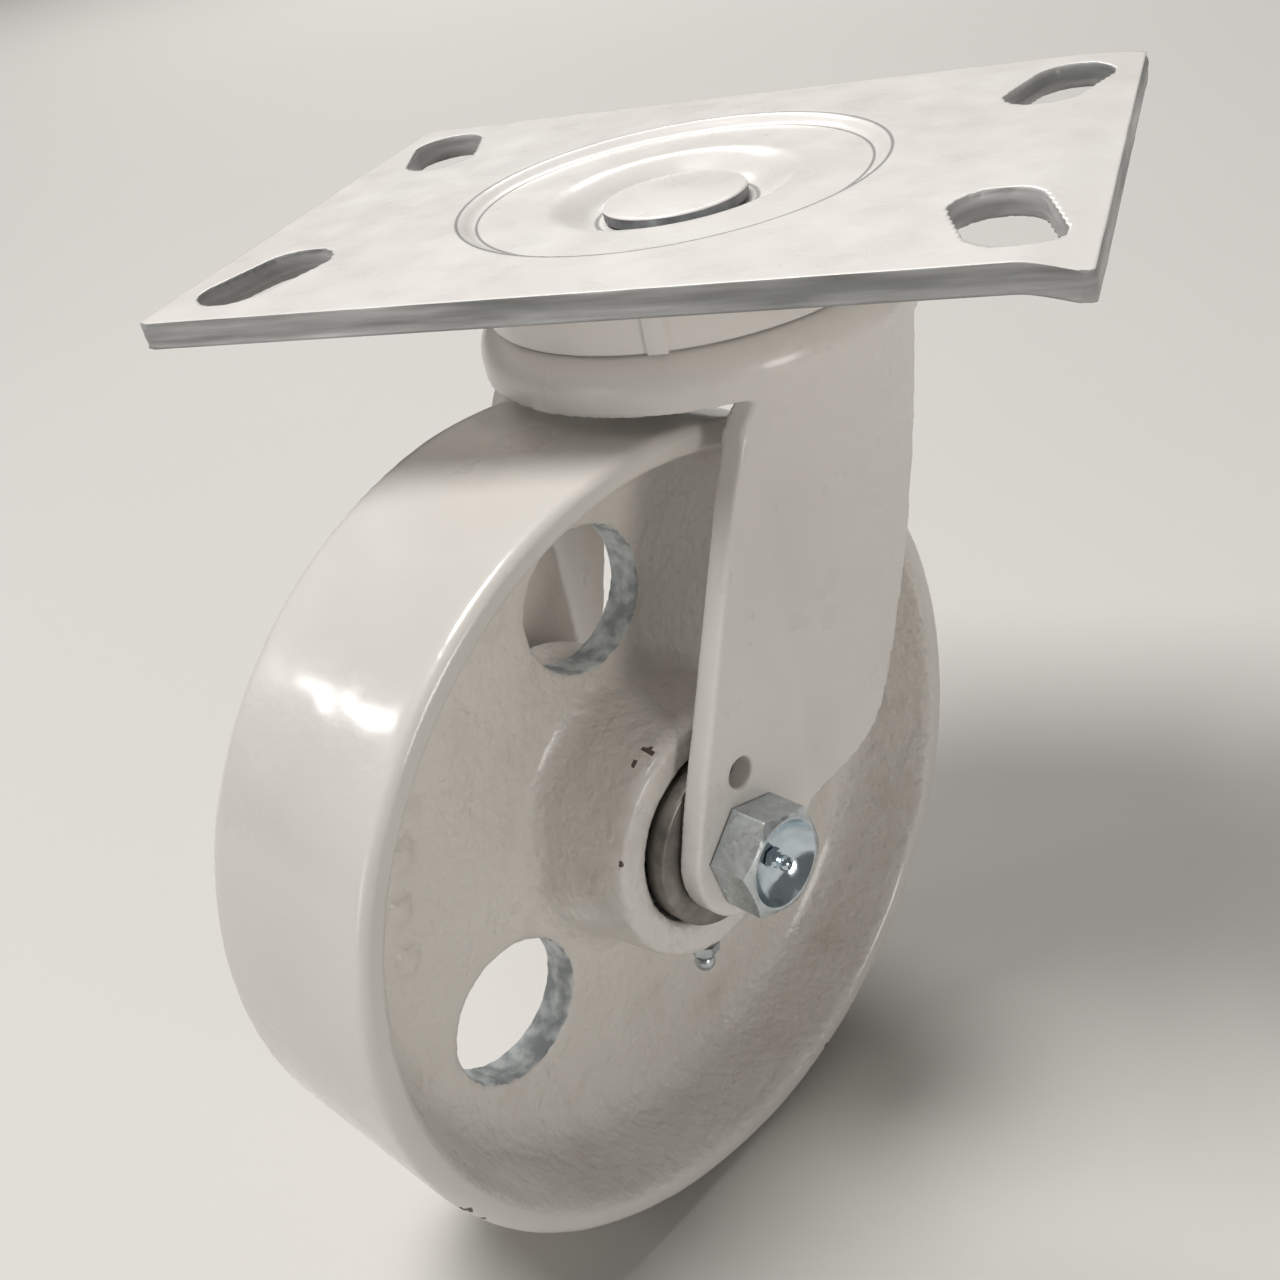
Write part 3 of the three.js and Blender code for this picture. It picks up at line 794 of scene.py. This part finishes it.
def hub_nipple():
    """The nipple on the hub points straight away from the axle."""
    piece = nipple("nipple_on_hub", HUB_NIPPLE_SCALE)
    centre = node_centre("hub_grease_fitting")
    out = Vector((centre.x, 0, centre.z)).normalized()
    foot = centre - out * HUB_NIPPLE_SCALE * NIPPLE_HEIGHT / 2
    turn = Vector((0, 1, 0)).rotation_difference(out).to_matrix().to_4x4()
    place = AXLE @ Matrix.Translation(foot) @ turn
    finish_piece(piece, "wheel", [ZINC], ["hub_grease_fitting"], place, 30)


def hub_washer(node, name):
    """A pressed washer between the hub and a leg, with rounded edges."""
    centre = node_centre(node).y
    edge = WASHER_OUTER - WASHER_EDGE
    outline = [(WASHER_INNER, centre - WASHER_HALF)]
    outline += arc(edge, centre - WASHER_HALF + WASHER_EDGE, WASHER_EDGE, -90, 0, 4)
    outline += arc(edge, centre + WASHER_HALF - WASHER_EDGE, WASHER_EDGE, 0, 90, 4)
    outline.append((WASHER_INNER, centre + WASHER_HALF))
    piece = turned(name, outline, 128, "Y")
    finish_piece(piece, "fork", [WASHER], [node], AXLE, 35)


# ---- Wheel ----------------------------------------------------------------------------------


def wheel_half_section():
    """Half of the casting's section, from the bore at the hub's face to the middle of the tread."""
    web, inner_rim, edge = WEB / 2, WHEEL_RADIUS - RIM, CAST_EDGE
    points = [(HUB_BORE, -HUB_HALF), (HUB_FACE - edge, -HUB_HALF)]
    points += arc(HUB_FACE - edge, -HUB_HALF + edge, edge, -90, 0, 4)
    points.append((HUB_ROOT, -web - HUB_FILLET))
    points += arc(HUB_ROOT + HUB_FILLET, -web - HUB_FILLET, HUB_FILLET, 165, 90, 8)
    points += arc(WEB_OUTER, -web - COVE, COVE, 90, 15, 10)
    points += [(inner_rim, -WHEEL_HALF + edge), (inner_rim + edge, -WHEEL_HALF)]
    return points + arc(WHEEL_RADIUS - RIM_EDGE, -WHEEL_HALF + RIM_EDGE, RIM_EDGE, -90, 0, 8)


def on_wheel(radius, degrees, y=0):
    """A point in the axle's frame, from its polar place on the wheel."""
    angle = math.radians(degrees)
    return Vector((radius * math.cos(angle), y, radius * math.sin(angle)))


def hole_centres():
    return [on_wheel(HOLE_PITCH, HOLE_FIRST + 360 * i / HOLE_COUNT) for i in range(HOLE_COUNT)]


def add_pips(casting):
    """Plain raised cast dots on the near face of the web, in place of a foundry's marks."""
    top = -WEB / 2 - PIP_HEIGHT
    outline = [(0, top), (PIP_TOP, top), (PIP_BASE, top + PIP_SLOPE), (PIP_BASE, 0), (0, 0)]
    for i in range(PIP_COUNT):
        dot = turned("pip", outline, 32, "Y")
        dot.data.transform(Matrix.Translation(on_wheel(PIP_PITCH, PIP_FIRST + PIP_STEP * i)))
        join(casting, dot)


def cast_skin(point, normal):
    """The casting's surface wanders a few tenths of a millimetre, and mostly inward."""
    wave = noise.noise(point * 0.045) + 0.45 * noise.noise(point * 0.16)
    return point - normal * 0.16 * (1.45 + wave)


def mark_surfaces(casting):
    """Gives the bores through the web and the tread their own materials, and chips the enamel."""
    core, tread, bare = 1, 2, 3
    inverse = AXLE.inverted()
    centres = hole_centres()
    chips = [(on_wheel(radius, degrees, y), size) for radius, degrees, y, size in CHIPS]
    for face in casting.data.polygons:
        local = inverse @ (face.center / MM)
        if math.hypot(local.x, local.z) > WHEEL_RADIUS - RIM + 1:
            face.material_index = tread
        near = min(math.hypot(local.x - centre.x, local.z - centre.z) for centre in centres)
        if abs(local.y) <= WEB / 2 - 0.5 and near < HOLE_RADIUS + 1:
            face.material_index = core
        for centre, size in chips:
            if (local - centre).length < size * (1 + 0.8 * noise.noise(local * 0.9)):
                face.material_index = bare


def wheel():
    half = wheel_half_section()
    mirrored = [(radius, -height) for radius, height in reversed(half)]
    casting = turned("cast_wheel", half + mirrored, 240, "Y")
    for centre in hole_centres():
        drill(casting, HOLE_RADIUS, 64, "Y", centre)
    add_pips(casting)
    remesh(casting, WHEEL_GRAIN, 2)
    move_points(casting, cast_skin)
    materials = [CAST, CORE, TREAD, BARE]
    finish_piece(casting, "wheel", materials, ["wheel_casting"], AXLE)
    mark_surfaces(casting)


# ---- Bearings -------------------------------------------------------------------------------


def bearings():
    """The bearing pieces keep their CAD shapes and take an oiled steel."""
    kept = ("upper_ball", "lower_ball", "roller_", "lower_race_cup", "axle_bush")
    for name, node in frame["nodes"].items():
        if name.startswith(kept):
            node.data.materials.clear()
            node.data.materials.append(WASHER if name == "roller_cage" else STEEL)


# ---- Stage ----------------------------------------------------------------------------------

CAMERA_POINT = (102.1, -261.7, 74.8)
CAMERA_AZIMUTH, CAMERA_ELEVATION, CAMERA_ROLL = 24.73, 24.83, -12.4
CAMERA_LENS = 44.43
CAMERA_RISE = -0.1358

# Each lamp's name, place in metres, size in metres, power in watts and tint. All face the wheel.
LAMPS = (
    ("key", (-0.35, -0.30, 1.30), 0.6, 17.5, (1, 0.99, 0.975)),
    ("left_window", (-1.1, -0.25, 0.45), 0.10, 0.6, (1, 0.995, 0.98)),
    ("front_left", (-0.9, -1.3, 0.05), 0.5, 1.2, (1, 0.985, 0.96)),
    ("right_window", (1.1, -0.75, 0.18), 0.4, 3.6, (1, 0.965, 0.915)),
)
BACKDROP_LAMP, BACKDROP_AIM = (-0.9, 2.0, 1.9), (-1.0, 2.3, -0.18)
WORLD_TINT, WORLD_STRENGTH = (1, 0.985, 0.96, 1), 0.13
FLOOR_DROP, FLOOR_REACH, FLOOR_RISE, FLOOR_BEND = 0.0005, 6.0, 4.0, 1.0


def camera():
    """Turned to the object, then tipped down, then rolled about its own line of sight."""
    data = bpy.data.cameras.new("camera")
    data.sensor_width = 36
    data.lens = CAMERA_LENS
    data.shift_y = CAMERA_RISE
    data.clip_start, data.clip_end = 0.01, 20
    eye = bpy.data.objects.new("camera", data)
    turn = Matrix.Rotation(math.radians(CAMERA_AZIMUTH), 4, "Z")
    tilt = Matrix.Rotation(math.radians(90 - CAMERA_ELEVATION), 4, "X")
    roll = Matrix.Rotation(math.radians(CAMERA_ROLL), 4, "Z")
    eye.matrix_world = Matrix.Translation(Vector(CAMERA_POINT) * MM) @ turn @ tilt @ roll
    bpy.context.scene.collection.objects.link(eye)
    bpy.context.scene.camera = eye


def lamp(name, place, aim, size, power, tint):
    """A soft round lamp that faces a point."""
    data = bpy.data.lights.new(name, "AREA")
    data.shape = "DISK"
    data.size = size
    data.energy = power
    data.color = tint
    light = bpy.data.objects.new(name, data)
    light.location = place
    light.rotation_euler = (Vector(aim) - Vector(place)).to_track_quat("-Z", "Y").to_euler()
    bpy.context.scene.collection.objects.link(light)


def lights():
    middle = (CAD_BOX[0] + CAD_BOX[1]) / 2
    for name, place, size, power, tint in LAMPS:
        lamp(name, place, middle, size, power, tint)
    lamp("backdrop", BACKDROP_LAMP, BACKDROP_AIM, 2.0, 55.0, (1, 0.99, 0.97))
    world = bpy.data.worlds.new("studio")
    world.use_nodes = True
    background = world.node_tree.nodes["Background"]
    background.inputs["Color"].default_value = WORLD_TINT
    background.inputs["Strength"].default_value = WORLD_STRENGTH
    bpy.context.scene.world = world
    bpy.context.scene.view_settings.view_transform = "Standard"


def floor():
    """A pale floor under the wheel that sweeps up far behind it."""
    ground = CAD_BOX[0].z - FLOOR_DROP
    back = FLOOR_REACH - FLOOR_BEND
    outline = [(-FLOOR_REACH, 0), (back, 0)] + arc(back, FLOOR_BEND, FLOOR_BEND, -90, 0, 16)
    outline.append((FLOOR_REACH, FLOOR_RISE))

    def build(work):
        rows = []
        for side in (-FLOOR_REACH, FLOOR_REACH):
            rows.append([work.verts.new((side, y, ground + z)) for y, z in outline])
        for i in range(len(outline) - 1):
            work.faces.new([rows[0][i], rows[1][i], rows[1][i + 1], rows[0][i + 1]])

    sweep = mesh_object("floor", build)
    for face in sweep.data.polygons:
        face.use_smooth = True
    look = Recipe("paper", roughness=0.9)
    look.colour(look.mix(look.grain(3, 2), (0.60, 0.585, 0.56), (0.62, 0.605, 0.58)))
    sweep.data.materials.append(look.material)


camera()
top_plate()
kingpin()
dust_ring()
kingpin_nut()
fork()
axle_bolt()
axle_nut()
axle_nipple()
wheel()
hub_nipple()
hub_washer("hub_washer_near", "near_washer")
hub_washer("hub_washer_far", "far_washer")
bearings()
lights()
floor()
